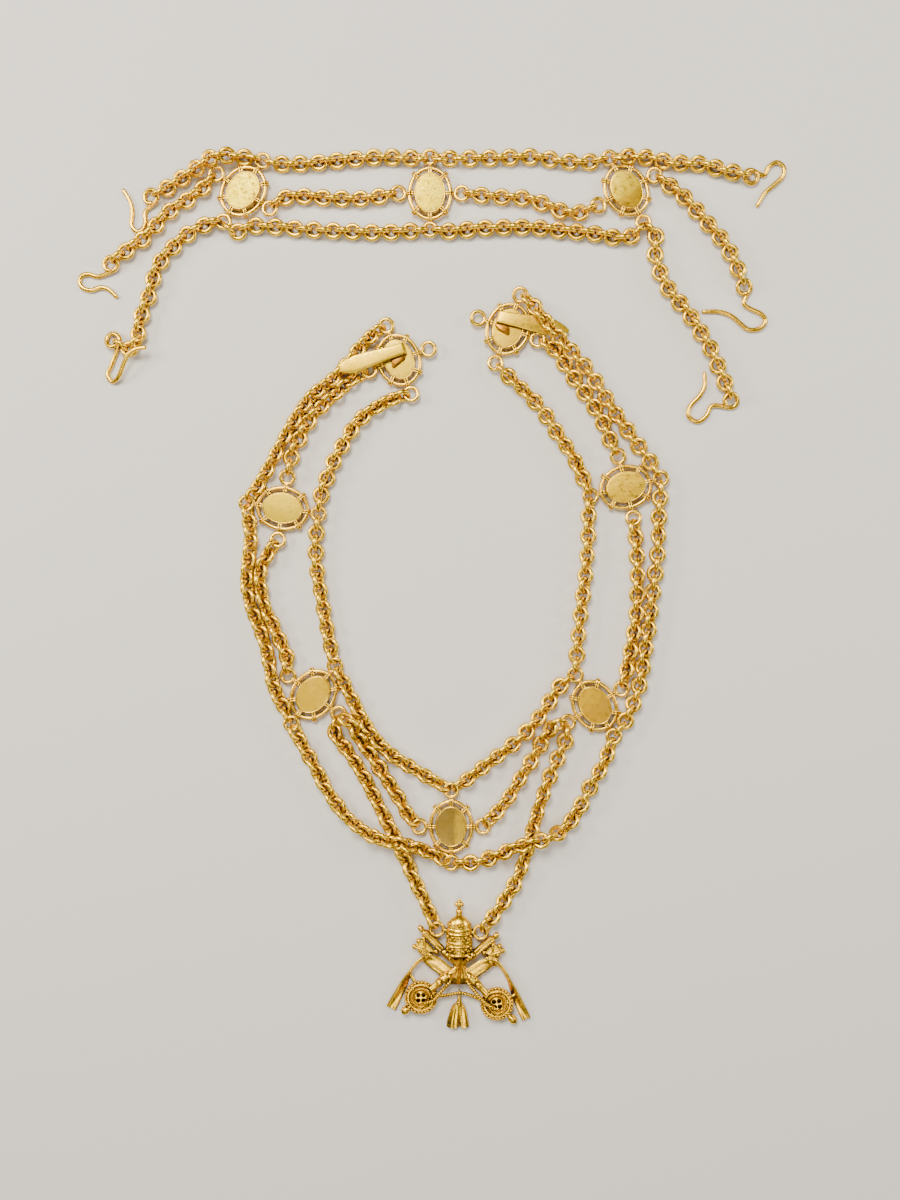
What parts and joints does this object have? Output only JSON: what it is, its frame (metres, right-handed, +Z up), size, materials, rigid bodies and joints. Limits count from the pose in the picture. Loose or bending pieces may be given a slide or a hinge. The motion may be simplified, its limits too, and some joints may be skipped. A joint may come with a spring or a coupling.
{
  "type": "chain of office",
  "caption": "Gilt three-row chain collar in two sections with oval medallions, wire hooks and a crossed-keys badge with tassel.",
  "frame": {"origin": "middle of the laid-out collar, on the surface that it lies on", "axes": "+Y from the badge to the nape, +Z up from the surface, +X to the right as seen from above"},
  "size_m": [0.3183, 0.3947, 0.0113],
  "materials": {
    "medallion_gilt": "worn satin gilding, brushed backs",
    "chain_gilt": "worn satin gilding",
    "hook_gilt": "worn satin gilding",
    "badge_gilt": "cast and chased, satin gilding with dark recesses"
  },
  "bodies": {
    "root": {"badge": "badge_gilt", "chain_badge_left": "chain_gilt", "chain_badge_right": "chain_gilt", "chain_breast_left_inner": "chain_gilt", "chain_breast_left_middle": "chain_gilt", "chain_breast_left_outer": "chain_gilt", "chain_breast_right_inner": "chain_gilt", "chain_breast_right_middle": "chain_gilt", "chain_breast_right_outer": "chain_gilt", "chain_chest_left_inner": "chain_gilt", "chain_chest_left_middle": "chain_gilt", "chain_chest_left_outer": "chain_gilt", "chain_chest_right_inner": "chain_gilt", "chain_chest_right_middle": "chain_gilt", "chain_chest_right_outer": "chain_gilt", "chain_nape_left_bottom": "chain_gilt", "chain_nape_left_middle": "chain_gilt", "chain_nape_left_top": "chain_gilt", "chain_nape_right_bottom": "chain_gilt", "chain_nape_right_middle": "chain_gilt", "chain_nape_right_top": "chain_gilt", "chain_shoulder_left_inner": "chain_gilt", "chain_shoulder_left_middle": "chain_gilt", "chain_shoulder_left_outer": "chain_gilt", "chain_shoulder_right_inner": "chain_gilt", "chain_shoulder_right_middle": "chain_gilt", "chain_shoulder_right_outer": "chain_gilt", "chain_tail_left_inner": "chain_gilt", "chain_tail_left_middle": "chain_gilt", "chain_tail_left_outer": "chain_gilt", "chain_tail_right_inner": "chain_gilt", "chain_tail_right_middle": "chain_gilt", "chain_tail_right_outer": "chain_gilt", "hook_left_inner": "hook_gilt", "hook_left_middle": "hook_gilt", "hook_left_outer": "hook_gilt", "hook_right_inner": "hook_gilt", "hook_right_middle": "hook_gilt", "hook_right_outer": "hook_gilt", "medallion_chest_left": "medallion_gilt", "medallion_chest_right": "medallion_gilt", "medallion_front": "medallion_gilt", "medallion_nape_centre": "medallion_gilt", "medallion_nape_left": "medallion_gilt", "medallion_nape_right": "medallion_gilt", "medallion_shoulder_left": "medallion_gilt", "medallion_shoulder_right": "medallion_gilt", "medallion_side_left": "medallion_gilt", "medallion_side_right": "medallion_gilt", "tassel": "badge_gilt"}
  },
  "joints": []
}
